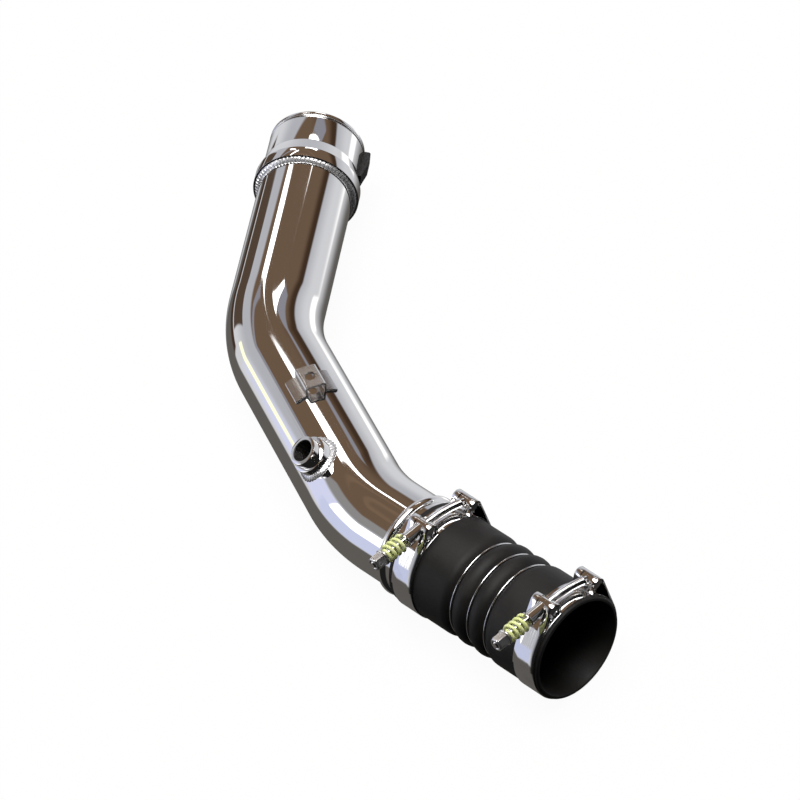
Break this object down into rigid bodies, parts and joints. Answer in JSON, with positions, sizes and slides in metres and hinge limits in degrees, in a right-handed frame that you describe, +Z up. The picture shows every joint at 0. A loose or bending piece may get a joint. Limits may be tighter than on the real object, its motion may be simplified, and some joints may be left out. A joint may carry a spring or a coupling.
{
  "type": "intercooler pipe",
  "caption": "Twice-bent polished charge air pipe with a push-on collar, sensor bung, folded bracket and a ringed bellows hose held by sprung T-bolt clamps.",
  "frame": {"origin": "bottom centre of the bounding box, with the part lying on the floor", "axes": "+X out of the hose along its axis, +Z up, square to the level plane of both bends"},
  "size_m": [0.5766, 0.3424, 0.0997],
  "materials": {
    "polished_metal": "mirror polished",
    "weld_metal": "rippled weld bead",
    "bracket_metal": "polished sheet",
    "clamp_steel": "bright stainless steel",
    "wire_steel": "bright wire",
    "spring_steel": "pale yellow-green zinc plate",
    "hose_rubber": "satin silicone",
    "seal_rubber": "satin",
    "black_plastic": "satin"
  },
  "bodies": {
    "root": {"bracket": "bracket_metal", "bung_weld": "weld_metal", "collar": "polished_metal", "collar_seal": "seal_rubber", "collar_weld": "weld_metal", "hose": "hose_rubber", "hose_ring_1": "wire_steel", "hose_ring_2": "wire_steel", "hose_ring_3": "wire_steel", "inner_clamp_band": "clamp_steel", "inner_clamp_bridge": "clamp_steel", "inner_clamp_nut": "clamp_steel", "inner_clamp_sleeve": "clamp_steel", "inner_clamp_spring": "spring_steel", "inner_clamp_t_bolt": "clamp_steel", "inner_clamp_trunnion": "clamp_steel", "locating_tab": "black_plastic", "outer_clamp_band": "clamp_steel", "outer_clamp_bridge": "clamp_steel", "outer_clamp_nut": "clamp_steel", "outer_clamp_sleeve": "clamp_steel", "outer_clamp_spring": "spring_steel", "outer_clamp_t_bolt": "clamp_steel", "outer_clamp_trunnion": "clamp_steel", "pipe": "polished_metal", "retaining_clip": "wire_steel", "sensor_bung": "polished_metal"}
  },
  "joints": []
}
